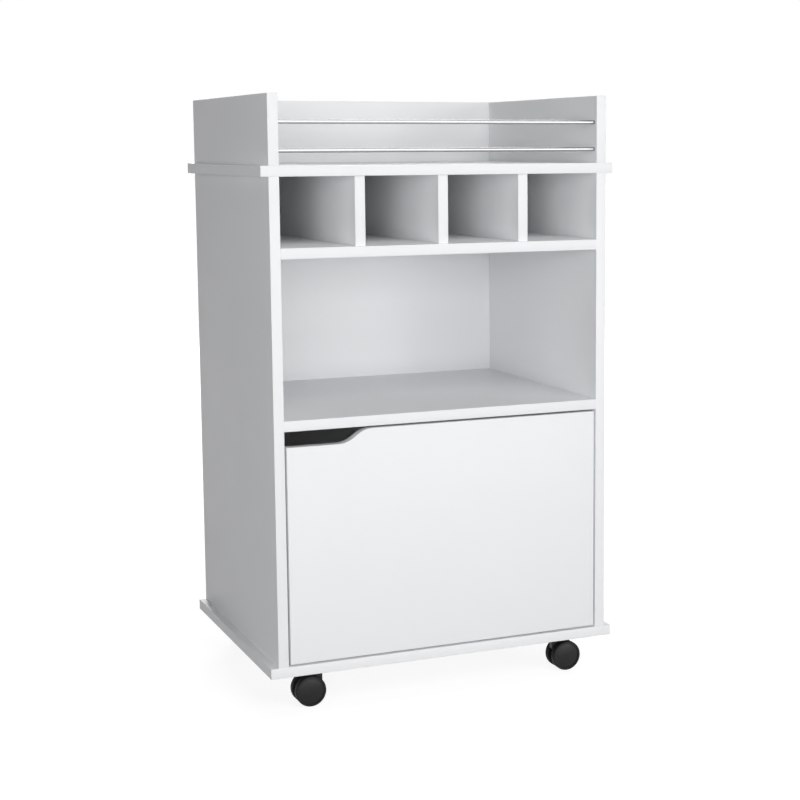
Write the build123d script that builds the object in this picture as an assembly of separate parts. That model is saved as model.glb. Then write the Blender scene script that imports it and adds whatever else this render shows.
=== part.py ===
from build123d import *
import math
import os

# Bar cart of flat-pack boards on four twin-wheel casters.
# Millimetres. The origin is on the floor under the middle of the body.
# X runs to the right, Y to the back and Z up, and the door faces -Y.

# Boards
board = 15.0  # thickness of every board
body_width = 514.0  # over the outer faces of the two sides
body_depth = 407.0
end_overhang = 11.0  # top and base reach this far past each side
cupboard_height = 335.5  # clear heights of the spaces, from the base up
compartment_height = 224.0
cubby_height = 97.5
cubby_count = 4
divider_setback = 5.0  # dividers behind the front edges of the boards round them
gallery_height = 97.5
arris = 0.5  # small chamfer on the edges that hands meet

# Gallery rails
rail_radius = 3.0
rail_setback = 7.5  # rail centre behind the front edges
upper_rail_height = 59.2  # rail centres above the top panel
lower_rail_height = 20.1
rail_socket_depth = 8.0
rail_fit = 0.1  # sockets wider than the rails, on the radius

# Door and its finger notch
door_gap = 3.0
notch_depth = 19.5
notch_straight = 75.5  # level part of the notch, from the free edge of the door
notch_bend_radius = 38.0
notch_slope = 35.0  # degrees, steepest part of the curve back up to the top edge

# Hinge pivots, each as its distance in from the door's hinged edge
# and its distance behind the door's front face
arm_pivot_inner = (24.2, 9.0)
arm_pivot_outer = (18.2, 9.0)
cup_pivot_inner = (14.7, 7.4)
cup_pivot_outer = (23.1, 14.0)

# Hinge cup, let into the back of the door
hinge_end_distance = 75.0  # hinge centres from the top and bottom of the door
cup_radius = 17.4
cup_fit = 0.1  # bore wider than the cup, on the radius
cup_edge_distance = 5.0  # board left between the bore and the edge of the door
cup_depth = 11.5
cup_wall = 0.8
cup_wing_length = 60.0  # screw wings, along the hinge axis
cup_wing_width = 14.0
cup_wing_thickness = 1.0

# Hinge links and pins, stacked along the hinge axis
layer_thickness = 3.0  # links and cup ear
layer_gap = 0.3
pin_radius = 1.25
knuckle_radius = 2.6
pivot_clearance = 0.05
open_pivot_clearance = 0.2  # outer link's hole at the cup, where the loop is cut

# Hinge arm, a cranked channel, and its mounting plate on the side
arm_sheet = 1.5
arm_foot_back = 17.0  # the arm's column starts this far behind the door's front
arm_column_clear = 2.0  # column, in from the inner arm pivot
arm_column_width = 7.8
arm_reach_back = 29.5  # the arm's crank, behind the sweep of the open door
arm_crank_depth = 6.5
arm_height = 9.0  # arm above its mounting plate
arm_tail_back = 74.0
plate_thickness = 2.5
plate_width = 32.0
plate_front_back = (36.0, 76.0)  # ends of the plate behind the door's front

# Casters
caster_height = 53.5  # floor to the underside of the base
wheel_radius = 22.5
wheel_width = 11.0
wheel_cap = 2.0  # outer wall of the wheel, over the end of the axle
wheel_side_gap = 0.5
caster_trail = 13.0  # wheel axle from the swivel axis
caster_side_inset = 66.2  # swivel axis from the outer face of the side
caster_end_inset = 33.6  # swivel axis from the front and back edges
caster_plate_size = 38.0
caster_plate_thickness = 2.0
caster_plate_corner = 5.0  # cut off each corner
kingpin_radius = 3.0
kingpin_length = 14.0
swivel_gap = 0.3
web_thickness = 9.0  # housing between the wheels
web_half_width = 7.0  # housing round the kingpin
web_shoulder = 18.0  # straight height of the housing, before it leans to the axle
axle_radius = 2.0
axle_boss = 6.0  # housing round the axle

# Levels and planes worked out from the sizes above
base_bottom = caster_height
base_top = base_bottom + board
middle_bottom = base_top + cupboard_height
middle_top = middle_bottom + board
bottle_bottom = middle_top + compartment_height
bottle_top = bottle_bottom + board
top_bottom = bottle_top + cubby_height
top_top = top_bottom + board
gallery_top = top_top + gallery_height
left = -body_width / 2
right = body_width / 2
inner_left = left + board
inner_right = right - board
front = -body_depth / 2
back = body_depth / 2
back_face = back - board
cubby_width = (inner_right - inner_left - (cubby_count - 1) * board) / cubby_count
divider_lefts = [inner_left + i * (cubby_width + board) - board for i in range(1, cubby_count)]
door_left = inner_left + door_gap
door_right = inner_right - door_gap
door_bottom = base_top + door_gap
door_top = middle_bottom - door_gap
door_back = front + board
hinge_levels = [door_bottom + hinge_end_distance, door_top - hinge_end_distance]


def block(x0, x1, y0, y1, z0, z1):
    """Rectangular board between three pairs of planes."""
    middle = Pos((x0 + x1) / 2, (y0 + y1) / 2, (z0 + z1) / 2)
    return middle * Box(x1 - x0, y1 - y0, z1 - z0)


def rod(start, direction, radius, length):
    """Cylinder that begins at a point and runs along a direction."""
    base_plane = Plane(origin=start, z_dir=direction)
    return base_plane * Cylinder(radius, length, align=(Align.CENTER, Align.CENTER, Align.MIN))


def cut(board_solid, tools):
    """Board with every tool taken away."""
    for tool in tools:
        board_solid = board_solid - tool
    return board_solid


def write(name, solids):
    """One STEP file for a node, from one solid or several."""
    solids = solids if isinstance(solids, list) else [solids]
    separate = [solid for item in solids for solid in item.solids()]
    node = separate[0] if len(separate) == 1 else Compound(children=separate)
    export_step(node, f"parts/{name}.step")


# Rails of the gallery
def rail(height, radius=rail_radius):
    """Round rail across the front of the gallery, into a socket at each end."""
    start = (inner_left - rail_socket_depth, front + rail_setback, top_top + height)
    return rod(start, (1, 0, 0), radius, inner_right - inner_left + 2 * rail_socket_depth)


rail_heights = [lower_rail_height, upper_rail_height]
rail_sockets = [rail(height, rail_radius + rail_fit) for height in rail_heights]

# Casters: swivel axes, each with the side that its wheels trail to
caster_places = {
    "front_left": (left + caster_side_inset, front + caster_end_inset, -1),
    "front_right": (right - caster_side_inset, front + caster_end_inset, 1),
    "back_left": (left + caster_side_inset, back - caster_end_inset, -1),
    "back_right": (right - caster_side_inset, back - caster_end_inset, 1),
}
wheel_inner = web_thickness / 2 + wheel_side_gap  # wheel's inner face from the housing's middle
wheel_outer = wheel_inner + wheel_width
plate_bottom = base_bottom - caster_plate_thickness
housing_top = plate_bottom - swivel_gap


def caster_plate(x, y):
    """Square plate under the base, with the kingpin riveted in its middle."""
    half = caster_plate_size / 2
    plate = block(x - half, x + half, y - half, y + half, plate_bottom, base_bottom)
    corners = plate.edges().filter_by(Axis.Z)
    kingpin = rod((x, y, plate_bottom), (0, 0, -1), kingpin_radius, kingpin_length)
    return chamfer(corners, caster_plate_corner) + kingpin


def caster_housing(x, y, side):
    """Flat moulding between the wheels, round the kingpin and down to the axle."""
    axle_x = x + side * caster_trail
    shoulder = housing_top - web_shoulder
    outline = make_face(
        Polyline(
            (x - side * web_half_width, housing_top),
            (x - side * web_half_width, shoulder),
            (axle_x - side * axle_boss, wheel_radius - axle_boss),
            (axle_x + side * axle_boss, wheel_radius - axle_boss),
            (axle_x + side * axle_boss, wheel_radius + axle_boss),
            (x + side * web_half_width, housing_top),
            close=True,
        )
    )
    web_plane = Plane(origin=(0, y + web_thickness / 2, 0), x_dir=(1, 0, 0), z_dir=(0, -1, 0))
    web = extrude(web_plane * outline, web_thickness)
    bore = rod((x, y, housing_top), (0, 0, -1), kingpin_radius + pivot_clearance, kingpin_length)
    axle_bore = rod((axle_x, y - web_thickness, wheel_radius), (0, 1, 0), axle_radius, 2 * web_thickness)
    return web - bore - axle_bore


def caster_axle(x, y, side):
    """Pin pressed through the housing, with a wheel on each end."""
    half = wheel_outer - wheel_cap - swivel_gap
    return rod((x + side * caster_trail, y - half, wheel_radius), (0, 1, 0), axle_radius, 2 * half)


def caster_wheel(x, y, side, end):
    """Wheel on one end of the axle, in a bore that its outer wall closes."""
    start = (x + side * caster_trail, y + end * wheel_inner, wheel_radius)
    wheel = rod(start, (0, end, 0), wheel_radius, wheel_width)
    return wheel - rod(start, (0, end, 0), axle_radius + pivot_clearance, wheel_width - wheel_cap)


# Hinges, in layers along their axis: the arm's lower cheek, the inner link,
# the cup's ear, the outer link and the arm's upper cheek
def hinge_point(pivot):
    """Plan position of a pivot."""
    return (door_right - pivot[0], front + pivot[1])


a_x, a_y = hinge_point(arm_pivot_inner)
d_x, d_y = hinge_point(arm_pivot_outer)
b_x, b_y = hinge_point(cup_pivot_inner)
c_x, c_y = hinge_point(cup_pivot_outer)
ear_low = -layer_thickness / 2  # layers from the hinge's middle
ear_high = layer_thickness / 2
inner_link_low = ear_low - layer_gap - layer_thickness
outer_link_low = ear_high + layer_gap
arm_inner_half = outer_link_low + layer_thickness + layer_gap
arm_half = arm_inner_half + arm_sheet
cup_x = door_right - cup_edge_distance - cup_fit - cup_radius
cup_floor_y = door_back - cup_depth


def layer(outline, level, low, thickness):
    """Flat piece from its plan outline, at a height about the hinge's middle."""
    return extrude(Plane.XY.offset(level + low) * outline, thickness)


def pin(x, y, level, low, high, radius=pin_radius):
    """Upright pin, or the bore for one, between two heights about the hinge's middle."""
    return rod((x, y, level + low), (0, 0, 1), radius, high - low)


def knuckles(*points):
    """Round ends about pivots, as edges for a hull."""
    return [edge for point in points for edge in (Pos(*point) * Circle(knuckle_radius)).edges()]


def inner_link(level):
    """Link from the arm's inner pivot to the cup."""
    outline = make_hull(knuckles((a_x, a_y), (b_x, b_y)))
    link = layer(outline, level, inner_link_low, layer_thickness)
    bore = pin_radius + pivot_clearance
    return cut(link, [pin(x, y, level, -arm_half, arm_half, bore) for x, y in ((a_x, a_y), (b_x, b_y))])


def outer_link(level):
    """Link from the arm's outer pivot to the cup, loose on its cup pin."""
    outline = make_hull(knuckles((d_x, d_y), (c_x, c_y)))
    link = layer(outline, level, outer_link_low, layer_thickness)
    arm_bore = pin(d_x, d_y, level, -arm_half, arm_half, pin_radius + pivot_clearance)
    cup_bore = pin(c_x, c_y, level, -arm_half, arm_half, pin_radius + open_pivot_clearance)
    return cut(link, [arm_bore, cup_bore])


def hinge_cup(level):
    """Pressed cup with screw wings, and an ear with the two pins that carry the door."""
    floor = (cup_x, cup_floor_y, level)
    shell = rod(floor, (0, 1, 0), cup_radius, cup_depth + cup_wing_thickness)
    wings = block(
        cup_x - cup_wing_width / 2,
        cup_x + cup_wing_width / 2,
        door_back,
        door_back + cup_wing_thickness,
        level - cup_wing_length / 2,
        level + cup_wing_length / 2,
    )
    hollow_floor = (cup_x, cup_floor_y + cup_wall, level)
    hollow = rod(hollow_floor, (0, 1, 0), cup_radius - cup_wall, 2 * cup_depth)
    foot_centre = ((b_x + c_x) / 2, cup_floor_y + cup_wall)
    foot = (Pos(*foot_centre) * Rectangle(b_x - c_x + 2 * knuckle_radius, cup_wall)).edges()
    ear_outline = make_hull([*knuckles((b_x, b_y), (c_x, c_y)), *foot])
    ear = layer(ear_outline, level, ear_low, layer_thickness)
    inner_pin = pin(b_x, b_y, level, inner_link_low, ear_low)
    outer_pin = pin(c_x, c_y, level, ear_high, outer_link_low + layer_thickness)
    return shell + wings - hollow + ear + inner_pin + outer_pin


def hinge_arm(level):
    """Cranked channel of two cheeks and a web, with the two pins that carry the links."""
    face_x = inner_right - plate_thickness
    web_x = face_x - arm_height
    column_right = a_x - arm_column_clear
    column_left = column_right - arm_column_width
    tail_y = front + arm_tail_back
    foot_y = front + arm_foot_back
    reach_y = front + arm_reach_back
    crank_y = reach_y + arm_crank_depth
    bend = [(web_x, tail_y), (web_x, crank_y), (column_left, crank_y), (column_left, foot_y)]
    inside = [(column_right, foot_y), (column_right, reach_y), (face_x, reach_y), (face_x, tail_y)]
    column_foot = Polyline((column_left, foot_y), (column_right, foot_y), (column_right, foot_y + arm_sheet))
    nose = make_hull([*knuckles((a_x, a_y), (d_x, d_y)), *column_foot.edges()])
    cheek = make_face(Polyline(*bend, *inside, close=True)) + nose
    web_inside = [
        (column_left + arm_sheet, foot_y),
        (column_left + arm_sheet, crank_y - arm_sheet),
        (web_x + arm_sheet, crank_y - arm_sheet),
        (web_x + arm_sheet, tail_y),
    ]
    web = layer(make_face(Polyline(*bend, *web_inside, close=True)), level, -arm_half, 2 * arm_half)
    lower_cheek = layer(cheek, level, -arm_half, arm_sheet)
    upper_cheek = layer(cheek, level, arm_inner_half, arm_sheet)
    inner_pin = pin(a_x, a_y, level, -arm_inner_half, inner_link_low + layer_thickness)
    outer_pin = pin(d_x, d_y, level, outer_link_low, arm_inner_half)
    return web + lower_cheek + upper_cheek + inner_pin + outer_pin


def hinge_plate(level):
    """Plate screwed to the inner face of the side, under the arm."""
    near, far = plate_front_back
    return block(
        inner_right - plate_thickness,
        inner_right,
        front + near,
        front + far,
        level - plate_width / 2,
        level + plate_width / 2,
    )


# Boards, each with the holes of what it carries
def end_panel(bottom):
    """Through board over or under both sides, with its overhanging ends eased."""
    panel = block(left - end_overhang, right + end_overhang, front, back, bottom, bottom + board)
    return chamfer(panel.edges().filter_by(Axis.Y), arris)


def side_panel(x0):
    """Side between the base and the top."""
    return block(x0, x0 + board, front, back, base_top, top_bottom)


def shelf(bottom):
    """Fixed shelf between the sides, in front of the back panel."""
    return block(inner_left, inner_right, front, back_face, bottom, bottom + board)


def divider(x0):
    """Upright between two cubbies."""
    return block(x0, x0 + board, front + divider_setback, back_face, bottle_top, top_bottom)


def gallery_side(x0):
    """Low side of the gallery, with blind sockets for the rails in its inner face."""
    panel = block(x0, x0 + board, front, back, top_top, gallery_top)
    top_edges = panel.faces().sort_by(Axis.Z)[-1].edges().filter_by(Axis.Y)
    return cut(chamfer(top_edges, arris), rail_sockets)


def back_board(bottom, top):
    """Board let in between the sides, flush with their back edges."""
    return block(inner_left, inner_right, back_face, back, bottom, top)


def notch():
    """Finger notch in the free top corner: a level stretch, then an S-curve up to the edge."""
    slope = math.radians(notch_slope)
    rise = notch_bend_radius * (1 - math.cos(slope))
    run = notch_bend_radius * math.sin(slope)
    slant_rise = notch_depth - 2 * rise
    slant_run = slant_rise / math.tan(slope)
    low = door_top - notch_depth
    start = door_left + notch_straight
    half = slope / 2
    sag = notch_bend_radius * math.sin(half), notch_bend_radius * (1 - math.cos(half))
    end_x = start + 2 * run + slant_run
    first = ThreePointArc((start, low), (start + sag[0], low + sag[1]), (start + run, low + rise))
    slant_end = (start + run + slant_run, low + rise + slant_rise)
    slant = Line((start + run, low + rise), slant_end)
    second = ThreePointArc(slant_end, (end_x - sag[0], door_top - sag[1]), (end_x, door_top))
    clear = 5.0
    close_up = Polyline(
        (end_x, door_top),
        (end_x, door_top + clear),
        (door_left - clear, door_top + clear),
        (door_left - clear, low),
        (start, low),
    )
    outline = make_face(first + slant + second + close_up)
    notch_plane = Plane(origin=(0, front - clear, 0), x_dir=(1, 0, 0), z_dir=(0, -1, 0))
    return extrude(notch_plane * outline, -(board + 2 * clear))


def door_panel():
    """Inset door with the finger notch and the two bores for the hinge cups."""
    panel = block(door_left, door_right, front, door_back, door_bottom, door_top) - notch()
    bore = cup_radius + cup_fit
    cups = [rod((cup_x, cup_floor_y, level), (0, 1, 0), bore, 2 * cup_depth) for level in hinge_levels]
    return cut(panel, cups)


os.makedirs("parts", exist_ok=True)

write("base_panel", end_panel(base_bottom))
write("left_side_panel", side_panel(left))
write("right_side_panel", side_panel(inner_right))
write("back_panel", back_board(base_top, top_bottom))
write("middle_shelf", shelf(middle_bottom))
write("bottle_shelf", shelf(bottle_bottom))
for name, x0 in zip(("divider_left", "divider_center", "divider_right"), divider_lefts):
    write(name, divider(x0))
write("top_panel", end_panel(top_bottom))
write("gallery_left", gallery_side(left))
write("gallery_right", gallery_side(inner_right))
write("gallery_back", back_board(top_top, gallery_top))
write("lower_rail", rail(lower_rail_height))
write("upper_rail", rail(upper_rail_height))

write("door_panel", door_panel())
write("hinge_cups", [hinge_cup(level) for level in hinge_levels])
write("hinge_arms", [hinge_arm(level) for level in hinge_levels])
write("hinge_plates", [hinge_plate(level) for level in hinge_levels])
write("hinge_inner_links", [inner_link(level) for level in hinge_levels])
write("hinge_outer_links", [outer_link(level) for level in hinge_levels])

write("caster_plates", [caster_plate(x, y) for x, y, side in caster_places.values()])
for place, (x, y, side) in caster_places.items():
    write(f"caster_{place}_housing", caster_housing(x, y, side))
    write(f"caster_{place}_axle", caster_axle(x, y, side))
    write(f"caster_{place}_front_wheel", caster_wheel(x, y, side, -1))
    write(f"caster_{place}_back_wheel", caster_wheel(x, y, side, 1))
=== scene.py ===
import math
import bpy
from mathutils import Matrix, Vector


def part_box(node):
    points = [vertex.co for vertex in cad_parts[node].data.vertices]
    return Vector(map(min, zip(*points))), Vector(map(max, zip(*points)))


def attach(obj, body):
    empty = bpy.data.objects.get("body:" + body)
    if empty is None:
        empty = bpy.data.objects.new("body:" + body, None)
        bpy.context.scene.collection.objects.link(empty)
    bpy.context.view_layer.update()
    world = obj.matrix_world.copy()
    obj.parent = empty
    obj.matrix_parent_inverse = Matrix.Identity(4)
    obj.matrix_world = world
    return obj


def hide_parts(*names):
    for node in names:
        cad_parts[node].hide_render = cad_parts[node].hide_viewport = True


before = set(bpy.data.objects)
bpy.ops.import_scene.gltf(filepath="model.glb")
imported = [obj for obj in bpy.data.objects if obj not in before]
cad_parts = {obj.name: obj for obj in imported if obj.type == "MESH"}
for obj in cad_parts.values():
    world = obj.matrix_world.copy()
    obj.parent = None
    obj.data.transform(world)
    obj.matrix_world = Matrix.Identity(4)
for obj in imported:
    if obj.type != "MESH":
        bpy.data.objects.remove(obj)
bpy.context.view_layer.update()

# The photographer's table and camera: a white sweep under wide soft lights, most of
# them in front, and a long lens a little above the cart's middle, to its left.
bpy.ops.object.select_all(action="DESELECT")
scene = bpy.context.scene
scene.view_settings.view_transform = "Standard"


def wired(nodes, kind, **settings):
    """New node with its settings made: a plain name is an attribute, in_NAME a socket's value."""
    node = nodes.new(kind)
    for key, value in settings.items():
        if key.startswith("in_"):
            node.inputs[key[3:].replace("_", " ")].default_value = value
        else:
            setattr(node, key, value)
    return node


def seen_directly(nodes, links):
    """Output that is 1 for the rays that show a backdrop, and 0 for those that carry its light."""
    ray_kind = wired(nodes, "ShaderNodeLightPath")
    seen = ray_kind.outputs["Is Camera Ray"]
    for other in ("Is Glossy Ray", "Is Transmission Ray"):
        either = wired(nodes, "ShaderNodeMath", operation="MAXIMUM")
        links.new(seen, either.inputs[0])
        links.new(ray_kind.outputs[other], either.inputs[1])
        seen = either.outputs["Value"]
    return seen


bpy.ops.mesh.primitive_plane_add(size=60, location=(0, 0, 0))
floor = bpy.context.object
floor.name = "studio_floor"
floor_paper = bpy.data.materials.new("white_paper_sweep")
floor_paper.use_nodes = True
paper_nodes = floor_paper.node_tree.nodes
paper_links = floor_paper.node_tree.links
paper = paper_nodes["Principled BSDF"]
paper.inputs["Roughness"].default_value = 0.9
paper.inputs["Specular IOR Level"].default_value = 0.1
paper.inputs["Base Color"].default_value = (0.30, 0.30, 0.305, 1)
paper.inputs["Emission Color"].default_value = (1, 1, 1, 1)
paper_place = wired(paper_nodes, "ShaderNodeTexCoord")
from_cart = wired(paper_nodes, "ShaderNodeVectorMath", operation="LENGTH")
paper_links.new(paper_place.outputs["Object"], from_cart.inputs[0])
paper_white = wired(paper_nodes, "ShaderNodeMapRange", interpolation_type="SMOOTHSTEP")
paper_white.inputs["From Min"].default_value = 0.4
paper_white.inputs["From Max"].default_value = 1.3
paper_white.inputs["To Min"].default_value = 0.87
paper_white.inputs["To Max"].default_value = 1.0
paper_links.new(from_cart.outputs["Value"], paper_white.inputs["Value"])
paper_glow = wired(paper_nodes, "ShaderNodeMath", operation="MULTIPLY")
paper_links.new(paper_white.outputs["Result"], paper_glow.inputs[0])
paper_links.new(seen_directly(paper_nodes, paper_links), paper_glow.inputs[1])
paper_links.new(paper_glow.outputs["Value"], paper.inputs["Emission Strength"])
floor.data.materials.append(floor_paper)

studio = bpy.data.worlds.new("studio")
scene.world = studio
studio.use_nodes = True
studio_nodes = studio.node_tree.nodes
studio_links = studio.node_tree.links
room = studio_nodes["Background"]
room.inputs["Color"].default_value = (0.98, 0.99, 1.0, 1)
room.inputs["Strength"].default_value = 0.067
backdrop = wired(studio_nodes, "ShaderNodeBackground", in_Strength=1.0)
backdrop.inputs["Color"].default_value = (1, 1, 1, 1)
studio_mix = wired(studio_nodes, "ShaderNodeMixShader")
studio_links.new(seen_directly(studio_nodes, studio_links), studio_mix.inputs["Fac"])
studio_links.new(room.outputs["Background"], studio_mix.inputs[1])
studio_links.new(backdrop.outputs["Background"], studio_mix.inputs[2])
studio_links.new(studio_mix.outputs["Shader"], studio_nodes["World Output"].inputs["Surface"])


def softbox(name, place, aim, width, height, watts):
    """Soft light that faces a point, with its sides in metres."""
    lamp = bpy.data.lights.new(name, "AREA")
    lamp.shape = "RECTANGLE"
    lamp.size = width
    lamp.size_y = height
    lamp.energy = watts
    lamp_object = bpy.data.objects.new(name, lamp)
    lamp_object.location = place
    lamp_object.rotation_euler = (Vector(aim) - Vector(place)).to_track_quat("-Z", "Y").to_euler()
    scene.collection.objects.link(lamp_object)
    return lamp_object


CART_MIDDLE = (0, 0, 0.45)
CART_TRAY = (0, 0, 0.8)
softbox("left_softbox", (-2.2, -4.4, 0.9), CART_MIDDLE, 2.0, 1.6, 74)
softbox("front_softbox", (0.3, -4.6, 0.6), CART_MIDDLE, 3.0, 1.1, 31)
softbox("right_softbox", (2.6, -4.2, 1.0), CART_MIDDLE, 2.0, 1.6, 50)
softbox("high_softbox", (0.4, -3.4, 3.0), CART_MIDDLE, 2.6, 2.0, 40)
softbox("side_softbox", (-4.2, -2.4, 1.0), CART_MIDDLE, 2.0, 1.8, 17)
softbox("top_softbox", (0.2, 0.1, 3.2), CART_TRAY, 2.2, 2.2, 6)
back_softbox = softbox("back_softbox", (1.4, 4.2, 1.6), CART_MIDDLE, 2.6, 2.0, 90)
back_softbox.visible_camera = False

camera_data = bpy.data.cameras.new("photo_camera")
camera_data.sensor_width = 36
camera_data.lens = 75.71
camera_data.shift_x = -0.1179
camera_data.shift_y = -0.0461
camera_place = Vector((-0.90695, -2.41948, 0.79547))
camera_yaw = math.radians(-23.924)
camera_pitch = math.radians(90 - 7.350)
camera_roll = math.radians(-0.235)
camera = bpy.data.objects.new("photo_camera", camera_data)
camera.matrix_world = (
    Matrix.Translation(camera_place)
    @ Matrix.Rotation(camera_yaw, 4, "Z")
    @ Matrix.Rotation(camera_pitch, 4, "X")
    @ Matrix.Rotation(camera_roll, 4, "Z")
)
scene.collection.objects.link(camera)
scene.camera = camera


# Carcass boards: 15 mm particleboard faced with white melamine. Each long edge
# has a band of the same white, ironed on and trimmed to a fine round edge.
FRONT_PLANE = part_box("base_panel")[0].y
BACK_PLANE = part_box("base_panel")[1].y
BAND_THICKNESS = 0.0010
EDGE_ROUNDING = 0.00045

white_board = bpy.data.materials.new("white_melamine_board")
white_board.use_nodes = True
board_nodes = white_board.node_tree.nodes
board_links = white_board.node_tree.links
melamine = board_nodes["Principled BSDF"]
melamine.inputs["Specular IOR Level"].default_value = 0.28

place = wired(board_nodes, "ShaderNodeTexCoord")
split_place = wired(board_nodes, "ShaderNodeSeparateXYZ")
board_links.new(place.outputs["Object"], split_place.inputs["Vector"])

# Glue line of the edge band, a hair wide, one band's thickness behind each edge
glue_lines = []
for plane, step in ((FRONT_PLANE, BAND_THICKNESS), (BACK_PLANE, -BAND_THICKNESS)):
    offset = wired(board_nodes, "ShaderNodeMath", operation="SUBTRACT")
    offset.inputs[1].default_value = plane + step
    board_links.new(split_place.outputs["Y"], offset.inputs[0])
    distance = wired(board_nodes, "ShaderNodeMath", operation="ABSOLUTE")
    board_links.new(offset.outputs["Value"], distance.inputs[0])
    line = wired(board_nodes, "ShaderNodeMapRange", interpolation_type="SMOOTHSTEP")
    line.inputs["From Min"].default_value = 0.00003
    line.inputs["From Max"].default_value = 0.00016
    line.inputs["To Min"].default_value = 1.0
    line.inputs["To Max"].default_value = 0.0
    board_links.new(distance.outputs["Value"], line.inputs["Value"])
    glue_lines.append(line)
glue_line = wired(board_nodes, "ShaderNodeMath", operation="MAXIMUM")
board_links.new(glue_lines[0].outputs["Result"], glue_line.inputs[0])
board_links.new(glue_lines[1].outputs["Result"], glue_line.inputs[1])

# Faint unevenness of the printed white, and the glue line over it
paper_cloud = wired(board_nodes, "ShaderNodeTexNoise", in_Scale=6.0, in_Detail=3.0)
board_links.new(place.outputs["Object"], paper_cloud.inputs["Vector"])
whites = wired(board_nodes, "ShaderNodeMix", data_type="RGBA")
whites.inputs["A"].default_value = (0.885, 0.895, 0.907, 1)
whites.inputs["B"].default_value = (0.905, 0.914, 0.925, 1)
board_links.new(paper_cloud.outputs["Fac"], whites.inputs["Factor"])
band_seam = wired(board_nodes, "ShaderNodeMix", data_type="RGBA")
band_seam.inputs["B"].default_value = (0.62, 0.62, 0.61, 1)
board_links.new(glue_line.outputs["Value"], band_seam.inputs["Factor"])
board_links.new(whites.outputs["Result"], band_seam.inputs["A"])
board_links.new(band_seam.outputs["Result"], melamine.inputs["Base Color"])

# Sheen that varies a little, over a fine pearl texture pressed into the facing
rub = wired(board_nodes, "ShaderNodeTexNoise", in_Scale=22.0, in_Detail=4.0)
board_links.new(place.outputs["Object"], rub.inputs["Vector"])
sheen = wired(board_nodes, "ShaderNodeMapRange")
sheen.inputs["To Min"].default_value = 0.36
sheen.inputs["To Max"].default_value = 0.50
board_links.new(rub.outputs["Fac"], sheen.inputs["Value"])
board_links.new(sheen.outputs["Result"], melamine.inputs["Roughness"])
pearl = wired(board_nodes, "ShaderNodeTexNoise", in_Scale=1400.0, in_Detail=2.0)
board_links.new(place.outputs["Object"], pearl.inputs["Vector"])
pearl_relief = wired(board_nodes, "ShaderNodeBump", in_Strength=0.12, in_Distance=0.0002)
board_links.new(pearl.outputs["Fac"], pearl_relief.inputs["Height"])
board_links.new(pearl_relief.outputs["Normal"], melamine.inputs["Normal"])


def sawn_board(node, body):
    """Board at its node's size and place, with its edges and corners finely rounded."""
    low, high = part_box(node)
    bpy.ops.object.select_all(action="DESELECT")
    bpy.ops.mesh.primitive_cube_add(size=1, location=(low + high) / 2, scale=high - low)
    bpy.ops.object.transform_apply(location=True, rotation=True, scale=True)
    piece = bpy.context.object
    piece.name = f"{node}_board"
    bpy.ops.object.mode_set(mode="EDIT")
    bpy.ops.mesh.select_all(action="SELECT")
    bpy.ops.mesh.bevel(offset=EDGE_ROUNDING, segments=3, affect="EDGES")
    bpy.ops.object.mode_set(mode="OBJECT")
    bpy.ops.object.shade_smooth_by_angle(angle=math.radians(35))
    piece.data.materials.append(white_board)
    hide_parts(node)
    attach(piece, body)


for board_node in (
    "base_panel",
    "left_side_panel",
    "right_side_panel",
    "back_panel",
    "middle_shelf",
    "bottle_shelf",
    "divider_left",
    "divider_center",
    "divider_right",
    "top_panel",
    "gallery_left",
    "gallery_right",
    "gallery_back",
):
    sawn_board(board_node, "carcass")


# Door: one more board of the same white, sawn with a long finger notch in its top
# left corner and bored at the back for the hinge cups. Its band runs all round.
def finished_copy(node, body, material, rounding, segments=2, sharper_than=30):
    """Merged copy of a node's solid, its sharp edges rounded by a bevel, which stands for the node."""
    bpy.ops.object.select_all(action="DESELECT")
    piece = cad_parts[node].copy()
    piece.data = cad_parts[node].data.copy()
    for key in [key for key in piece.keys() if key.startswith("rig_")]:
        del piece[key]
    piece.name = f"{node}_finished"
    piece.parent = None
    scene.collection.objects.link(piece)
    piece.select_set(True)
    bpy.context.view_layer.objects.active = piece
    bpy.ops.object.mode_set(mode="EDIT")
    bpy.ops.mesh.select_all(action="SELECT")
    bpy.ops.mesh.remove_doubles(threshold=0.000002)
    bpy.ops.mesh.dissolve_limited(angle_limit=math.radians(1))
    bpy.ops.object.mode_set(mode="OBJECT")
    rounded = piece.modifiers.new("rounded_edges", "BEVEL")
    rounded.width = rounding
    rounded.segments = segments
    rounded.limit_method = "ANGLE"
    rounded.angle_limit = math.radians(sharper_than)
    bpy.ops.object.modifier_apply(modifier="rounded_edges")
    bpy.ops.object.shade_smooth_by_angle(angle=math.radians(40))
    piece.data.materials.clear()
    piece.data.materials.append(material)
    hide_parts(node)
    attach(piece, body)


finished_copy("door_panel", "door", white_board, EDGE_ROUNDING, 3)


# Gallery rails: two thin round rods of chromed steel, pushed into blind sockets
# in the gallery's sides before the sides are fixed down.
chrome = bpy.data.materials.new("rail_chrome")
chrome.use_nodes = True
chrome_nodes = chrome.node_tree.nodes
chrome_links = chrome.node_tree.links
plate = chrome_nodes["Principled BSDF"]
plate.inputs["Metallic"].default_value = 1.0
plate.inputs["Base Color"].default_value = (0.42, 0.425, 0.43, 1)
rail_place = wired(chrome_nodes, "ShaderNodeTexCoord")
polish = wired(chrome_nodes, "ShaderNodeTexNoise", in_Scale=90.0, in_Detail=3.0)
chrome_links.new(rail_place.outputs["Object"], polish.inputs["Vector"])
polish_range = wired(chrome_nodes, "ShaderNodeMapRange")
polish_range.inputs["To Min"].default_value = 0.08
polish_range.inputs["To Max"].default_value = 0.16
chrome_links.new(polish.outputs["Fac"], polish_range.inputs["Value"])
chrome_links.new(polish_range.outputs["Result"], plate.inputs["Roughness"])

RAIL_SIDES = 64
RAIL_END_ROUNDING = 0.0004


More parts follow.
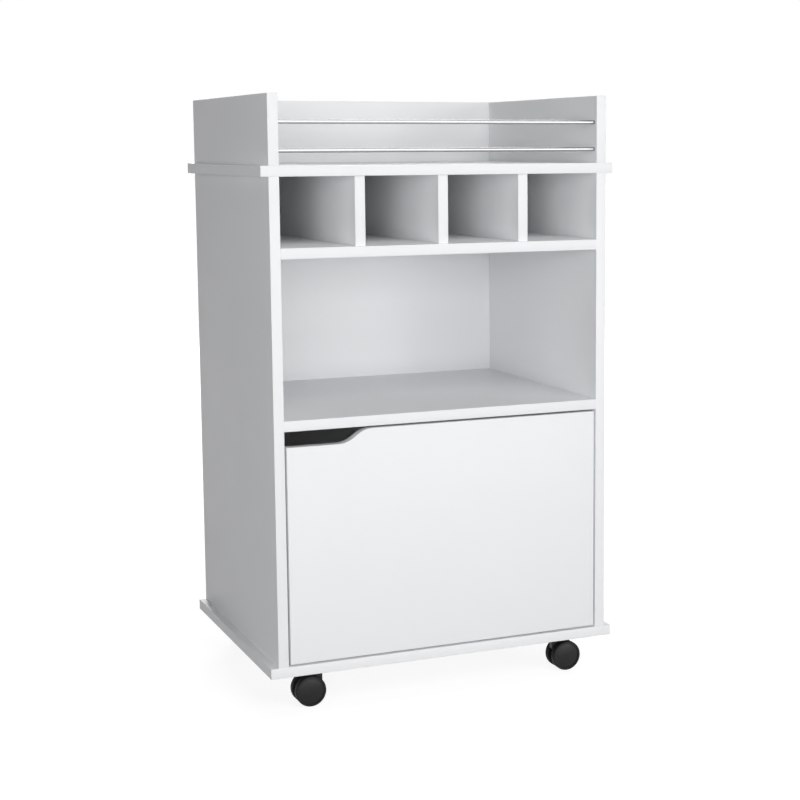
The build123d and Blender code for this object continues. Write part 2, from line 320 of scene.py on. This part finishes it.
def turned_rod(name, start, end, radius, sides, end_rounding):
    """Round rod between two points, with its two rims rounded."""
    start, end = Vector(start), Vector(end)
    turn = (end - start).to_track_quat("Z", "Y").to_euler()
    bpy.ops.object.select_all(action="DESELECT")
    bpy.ops.mesh.primitive_cylinder_add(
        vertices=sides, radius=radius, depth=(end - start).length, location=(start + end) / 2, rotation=turn
    )
    bpy.ops.object.transform_apply(location=True, rotation=True, scale=True)
    rod = bpy.context.object
    rod.name = name
    rounded = rod.modifiers.new("rounded_rims", "BEVEL")
    rounded.width = end_rounding
    rounded.segments = 3
    rounded.limit_method = "ANGLE"
    rounded.angle_limit = math.radians(60)
    bpy.ops.object.modifier_apply(modifier="rounded_rims")
    bpy.ops.object.shade_smooth_by_angle(angle=math.radians(40))
    return rod


for rail_node in ("lower_rail", "upper_rail"):
    low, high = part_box(rail_node)
    middle = (low + high) / 2
    left_end = (low.x, middle.y, middle.z)
    right_end = (high.x, middle.y, middle.z)
    rail_radius = (high.z - low.z) / 2
    rail = turned_rod(f"{rail_node}_rod", left_end, right_end, rail_radius, RAIL_SIDES, RAIL_END_ROUNDING)
    rail.data.materials.append(chrome)
    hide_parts(rail_node)
    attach(rail, "carcass")


# Concealed hinges: pressed and folded from nickel-plated steel. The cup is let
# into the door, the arm hooks onto a plate on the side, and two links join them.
PRESSED_EDGE = 0.00018
THICK_PLATE_EDGE = 0.0004


def plated_steel(name, cloud_scale, cloud_detail, darker, lighter, smoothest, roughest):
    """Plated steel whose tone and polish vary in the same small clouds."""
    steel = bpy.data.materials.new(name)
    steel.use_nodes = True
    nodes = steel.node_tree.nodes
    links = steel.node_tree.links
    skin = nodes["Principled BSDF"]
    skin.inputs["Metallic"].default_value = 1.0
    steel_place = wired(nodes, "ShaderNodeTexCoord")
    cloud = wired(nodes, "ShaderNodeTexNoise", in_Scale=cloud_scale, in_Detail=cloud_detail)
    links.new(steel_place.outputs["Object"], cloud.inputs["Vector"])
    tone = wired(nodes, "ShaderNodeMix", data_type="RGBA")
    tone.inputs["A"].default_value = darker
    tone.inputs["B"].default_value = lighter
    links.new(cloud.outputs["Fac"], tone.inputs["Factor"])
    links.new(tone.outputs["Result"], skin.inputs["Base Color"])
    polish_level = wired(nodes, "ShaderNodeMapRange")
    polish_level.inputs["To Min"].default_value = smoothest
    polish_level.inputs["To Max"].default_value = roughest
    links.new(cloud.outputs["Fac"], polish_level.inputs["Value"])
    links.new(polish_level.outputs["Result"], skin.inputs["Roughness"])
    return steel


nickel = plated_steel(
    "nickel_plated_steel",
    cloud_scale=140.0,
    cloud_detail=4.0,
    darker=(0.58, 0.57, 0.54, 1),
    lighter=(0.68, 0.67, 0.64, 1),
    smoothest=0.24,
    roughest=0.38,
)
finished_copy("hinge_cups", "door", nickel, PRESSED_EDGE)
finished_copy("hinge_arms", "carcass", nickel, PRESSED_EDGE)
finished_copy("hinge_plates", "carcass", nickel, THICK_PLATE_EDGE)
finished_copy("hinge_inner_links", "inner_links", nickel, PRESSED_EDGE)
finished_copy("hinge_outer_links", "outer_links", nickel, PRESSED_EDGE)


# Hinge screws: nickel-plated pan heads with a cross recess. Two hold each cup to the
# door, two hold each plate to the side, and two fix and adjust the arm on its plate.
CUP_WING_REACH = 0.030  # end of a cup's wing from the hinge's middle
CUP_WING_THICKNESS = 0.001
CUP_SCREW_REACH = 0.024
PLATE_SCREW_REACH = 0.0115
ARM_HEIGHT = 0.009  # arm's web above its plate
ARM_SCREW_SETBACKS = (0.010, 0.024)  # from the tail of the arm
HINGE_SCREW_RADIUS = 0.0033
HINGE_SCREW_HEIGHT = 0.0016
HEAD_SIDES = 32
HEAD_ROUNDING = 0.6  # of the head's height
RECESS_LENGTH = 1.1  # of the head's radius, as is the width
RECESS_WIDTH = 0.26
CUTTER_HEIGHT = 1.3  # of the head's height, half of it below the top


def screw_head(name, seat, outward, radius, height, material):
    """Pan head with a cross recess, standing on its seat and facing outward."""
    bpy.ops.object.select_all(action="DESELECT")
    middle = (0, 0, height / 2)
    bpy.ops.mesh.primitive_cylinder_add(vertices=HEAD_SIDES, radius=radius, depth=height, location=middle)
    head = bpy.context.object
    head.name = name
    bpy.ops.object.transform_apply(location=True, rotation=True, scale=True)
    for face in head.data.polygons:
        face.select = face.normal.z > 0.9
    bpy.ops.object.mode_set(mode="EDIT")
    bpy.ops.mesh.select_mode(type="FACE")
    bpy.ops.mesh.bevel(offset=height * HEAD_ROUNDING, segments=3, affect="EDGES")
    bpy.ops.object.mode_set(mode="OBJECT")
    long_side = radius * RECESS_LENGTH
    short_side = radius * RECESS_WIDTH
    for slot_size in ((long_side, short_side), (short_side, long_side)):
        cutter_size = (*slot_size, height * CUTTER_HEIGHT)
        bpy.ops.mesh.primitive_cube_add(size=1, location=(0, 0, height), scale=cutter_size)
        cutter = bpy.context.object
        recess = head.modifiers.new("cross_recess", "BOOLEAN")
        recess.operation = "DIFFERENCE"
        recess.object = cutter
        bpy.context.view_layer.objects.active = head
        bpy.ops.object.modifier_apply(modifier="cross_recess")
        bpy.data.objects.remove(cutter)
    bpy.ops.object.select_all(action="DESELECT")
    head.select_set(True)
    head.rotation_euler = Vector(outward).to_track_quat("Z", "Y").to_euler()
    head.location = seat
    bpy.ops.object.transform_apply(location=True, rotation=True, scale=True)
    bpy.ops.object.shade_smooth_by_angle(angle=math.radians(35))
    head.data.materials.append(material)
    return head


cups_low, cups_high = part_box("hinge_cups")
plates_low, plates_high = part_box("hinge_plates")
wing_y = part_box("door_panel")[1].y + CUP_WING_THICKNESS
arm_tail_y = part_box("hinge_arms")[1].y
cup_x = (cups_low.x + cups_high.x) / 2
plate_y = (plates_low.y + plates_high.y) / 2
for hinge_name, level in (("lower", cups_low.z + CUP_WING_REACH), ("upper", cups_high.z - CUP_WING_REACH)):
    screws = []
    for side_name, reach in (("low", -1), ("high", 1)):
        cup_seat = (cup_x, wing_y, level + reach * CUP_SCREW_REACH)
        plate_seat = (plates_low.x, plate_y, level + reach * PLATE_SCREW_REACH)
        screws.append((f"{hinge_name}_cup_screw_{side_name}", cup_seat, (0, 1, 0), "door"))
        screws.append((f"{hinge_name}_plate_screw_{side_name}", plate_seat, (-1, 0, 0), "carcass"))
    for use, setback in zip(("fixing", "adjusting"), ARM_SCREW_SETBACKS):
        arm_seat = (plates_low.x - ARM_HEIGHT, arm_tail_y - setback, level)
        screws.append((f"{hinge_name}_arm_{use}_screw", arm_seat, (-1, 0, 0), "carcass"))
    for name, seat, outward, body in screws:
        screw = screw_head(name, seat, outward, HINGE_SCREW_RADIUS, HINGE_SCREW_HEIGHT, nickel)
        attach(screw, body)


# Caster plates and axles: zinc-plated steel. Each plate is screwed up into the
# base, and the kingpin riveted in it carries the black housing.
CASTER_PLATE_EDGE = 0.0003
zinc = plated_steel(
    "zinc_plated_steel",
    cloud_scale=260.0,
    cloud_detail=5.0,
    darker=(0.42, 0.43, 0.44, 1),
    lighter=(0.56, 0.57, 0.57, 1),
    smoothest=0.34,
    roughest=0.52,
)
finished_copy("caster_plates", "carcass", zinc, CASTER_PLATE_EDGE)


# Screws and cam fittings of zinc-plated steel: four screws up through each caster plate,
# three up through the base into each side, and two cams at each end under each shelf.
PLATE_SIZE = 0.038
PLATE_THICKNESS = 0.002
PLATE_SCREW_OFFSET = 0.013  # each way from the middle of the plate
PLATE_SCREW_RADIUS = 0.0032
PLATE_SCREW_HEIGHT = 0.0014
SIDE_SCREW_INSET = 0.060  # from the front and back edges
SIDE_SCREW_RADIUS = 0.0034
SIDE_SCREW_HEIGHT = 0.0008
CAM_RADIUS = 0.0075
CAM_HEIGHT = 0.0004
CAM_END_DISTANCE = 0.034
CAM_EDGE_DISTANCE = 0.050

base_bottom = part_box("base_panel")[0].z
caster_low, caster_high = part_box("caster_plates")
plate_xs = (("left", caster_low.x + PLATE_SIZE / 2), ("right", caster_high.x - PLATE_SIZE / 2))
plate_ys = (("front", caster_low.y + PLATE_SIZE / 2), ("back", caster_high.y - PLATE_SIZE / 2))
fittings = []
for side_name, plate_x in plate_xs:
    for end_name, plate_y in plate_ys:
        for number in range(4):
            offset_x = PLATE_SCREW_OFFSET * (1 if number % 2 else -1)
            offset_y = PLATE_SCREW_OFFSET * (1 if number // 2 else -1)
            seat = (plate_x + offset_x, plate_y + offset_y, base_bottom - PLATE_THICKNESS)
            name = f"caster_plate_{end_name}_{side_name}_screw_{number + 1}"
            fittings.append((name, seat, PLATE_SCREW_RADIUS, PLATE_SCREW_HEIGHT))
    side_low, side_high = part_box(f"{side_name}_side_panel")
    side_middle = (side_low + side_high) / 2
    side_ys = (side_low.y + SIDE_SCREW_INSET, side_middle.y, side_high.y - SIDE_SCREW_INSET)
    for end_name, side_y in zip(("front", "middle", "back"), side_ys):
        seat = (side_middle.x, side_y, base_bottom)
        fittings.append((f"{side_name}_side_{end_name}_screw", seat, SIDE_SCREW_RADIUS, SIDE_SCREW_HEIGHT))
for shelf_node in ("middle_shelf", "bottle_shelf"):
    shelf_low, shelf_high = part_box(shelf_node)
    cam_xs = (("left", shelf_low.x + CAM_END_DISTANCE), ("right", shelf_high.x - CAM_END_DISTANCE))
    cam_ys = (("front", shelf_low.y + CAM_EDGE_DISTANCE), ("back", shelf_high.y - CAM_EDGE_DISTANCE))
    for side_name, cam_x in cam_xs:
        for end_name, cam_y in cam_ys:
            seat = (cam_x, cam_y, shelf_low.z)
            fittings.append((f"{shelf_node}_{end_name}_{side_name}_cam", seat, CAM_RADIUS, CAM_HEIGHT))
for name, seat, radius, height in fittings:
    fitting = screw_head(name, seat, (0, 0, -1), radius, height, zinc)
    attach(fitting, "carcass")


# Casters: twin wheels of black nylon either side of a moulded housing, which turns
# on the kingpin. The wheels are snapped onto the ends of a steel axle.
nylon = bpy.data.materials.new("black_nylon")
nylon.use_nodes = True
nylon_nodes = nylon.node_tree.nodes
nylon_links = nylon.node_tree.links
nylon_skin = nylon_nodes["Principled BSDF"]
nylon_skin.inputs["Specular IOR Level"].default_value = 0.25
nylon_place = wired(nylon_nodes, "ShaderNodeTexCoord")
nylon_cloud = wired(nylon_nodes, "ShaderNodeTexNoise", in_Scale=160.0, in_Detail=4.0)
nylon_links.new(nylon_place.outputs["Object"], nylon_cloud.inputs["Vector"])
nylon_tone = wired(nylon_nodes, "ShaderNodeMix", data_type="RGBA")
nylon_tone.inputs["A"].default_value = (0.006, 0.006, 0.0063, 1)
nylon_tone.inputs["B"].default_value = (0.009, 0.009, 0.0094, 1)
nylon_links.new(nylon_cloud.outputs["Fac"], nylon_tone.inputs["Factor"])
nylon_links.new(nylon_tone.outputs["Result"], nylon_skin.inputs["Base Color"])
nylon_sheen = wired(nylon_nodes, "ShaderNodeMapRange")
nylon_sheen.inputs["To Min"].default_value = 0.33
nylon_sheen.inputs["To Max"].default_value = 0.41
nylon_links.new(nylon_cloud.outputs["Fac"], nylon_sheen.inputs["Value"])
nylon_links.new(nylon_sheen.outputs["Result"], nylon_skin.inputs["Roughness"])
nylon_grain = wired(nylon_nodes, "ShaderNodeTexNoise", in_Scale=2200.0, in_Detail=2.0)
nylon_links.new(nylon_place.outputs["Object"], nylon_grain.inputs["Vector"])
nylon_relief = wired(nylon_nodes, "ShaderNodeBump", in_Strength=0.25, in_Distance=0.0002)
nylon_links.new(nylon_grain.outputs["Fac"], nylon_relief.inputs["Height"])
nylon_links.new(nylon_relief.outputs["Normal"], nylon_skin.inputs["Normal"])

# The running surface is the same nylon, scuffed matte by the floor.
scuffed_nylon = nylon.copy()
scuffed_nylon.name = "scuffed_nylon"
scuffed_skin = scuffed_nylon.node_tree.nodes[nylon_skin.name]
scuffed_skin.inputs["Specular IOR Level"].default_value = 0.12
scuffed_sheen = scuffed_nylon.node_tree.nodes[nylon_sheen.name]
scuffed_sheen.inputs["To Min"].default_value = 0.5
scuffed_sheen.inputs["To Max"].default_value = 0.65

TREAD_ROUNDING = 0.0012
RIM_SETBACK = 0.0011  # flat rim behind the middle of the domed disc
RIM_WIDTH = 0.0018
GROOVE_DEPTH = 0.0012  # groove between the rim and the disc
GROOVE_WIDTH = 0.0004
DOME_RISE = RIM_SETBACK + GROOVE_DEPTH
DOME_STEPS = 10
DOME_CENTRE = 0.3  # radius of the flat in the middle, in steps
HOUSING_EDGE = 0.0006
AXLE_EDGE = 0.0002


def moulded_wheel(node, name, outward):
    """Wheel at its node's size, with a rounded tread and a domed disc set into a flat rim."""
    low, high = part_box(node)
    radius = (high.z - low.z) / 2
    width = high.y - low.y - RIM_SETBACK
    middle = (low + high) / 2 - Vector((0, outward * RIM_SETBACK / 2, 0))
    bpy.ops.object.select_all(action="DESELECT")
    bpy.ops.mesh.primitive_cylinder_add(
        vertices=96, radius=radius, depth=width, location=middle, rotation=(math.radians(90), 0, 0)
    )
    bpy.ops.object.transform_apply(location=True, rotation=True, scale=True)
    wheel = bpy.context.object
    wheel.name = name
    rims = wheel.modifiers.new("rounded_tread", "BEVEL")
    rims.width = TREAD_ROUNDING
    rims.segments = 5
    rims.limit_method = "ANGLE"
    rims.angle_limit = math.radians(60)
    bpy.ops.object.modifier_apply(modifier="rounded_tread")
    disc = max(wheel.data.polygons, key=lambda face: (round(face.normal.y * outward, 3), face.area))
    for face in wheel.data.polygons:
        face.select = face.index == disc.index
    bpy.ops.object.mode_set(mode="EDIT")
    bpy.ops.mesh.select_mode(type="FACE")
    bpy.ops.mesh.inset(thickness=RIM_WIDTH, depth=0)
    bpy.ops.mesh.inset(thickness=GROOVE_WIDTH, depth=0)
    bpy.ops.transform.translate(value=(0, -outward * GROOVE_DEPTH, 0))
    bpy.ops.mesh.inset(thickness=GROOVE_WIDTH, depth=0)
    dome_radius = radius - TREAD_ROUNDING - RIM_WIDTH - 2 * GROOVE_WIDTH
    ball_radius = (dome_radius**2 + DOME_RISE**2) / (2 * DOME_RISE)
    ring = dome_radius
    for step in range(DOME_STEPS):
        next_ring = dome_radius * (1 - (step + 1) / (DOME_STEPS + DOME_CENTRE))
        lift = math.sqrt(ball_radius**2 - next_ring**2) - math.sqrt(ball_radius**2 - ring**2)
        bpy.ops.mesh.inset(thickness=ring - next_ring, depth=0)
        bpy.ops.transform.translate(value=(0, outward * lift, 0))
        ring = next_ring
    bpy.ops.object.mode_set(mode="OBJECT")
    bpy.ops.object.shade_smooth_by_angle(angle=math.radians(50))
    wheel.data.materials.append(nylon)
    wheel.data.materials.append(scuffed_nylon)
    for face in wheel.data.polygons:
        reach = math.hypot(face.center.x - middle.x, face.center.z - middle.z)
        face.material_index = 1 if reach > radius - TREAD_ROUNDING else 0
    return wheel


for corner in ("front_left", "front_right", "back_left", "back_right"):
    finished_copy(f"caster_{corner}_housing", f"{corner}_swivel", nylon, HOUSING_EDGE, 3)
    finished_copy(f"caster_{corner}_axle", f"{corner}_swivel", zinc, AXLE_EDGE)
    for end, outward in (("front", -1), ("back", 1)):
        wheel_node = f"caster_{corner}_{end}_wheel"
        wheel = moulded_wheel(wheel_node, f"{corner}_{end}_wheel", outward)
        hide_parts(wheel_node)
        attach(wheel, f"{corner}_{end}_wheel")
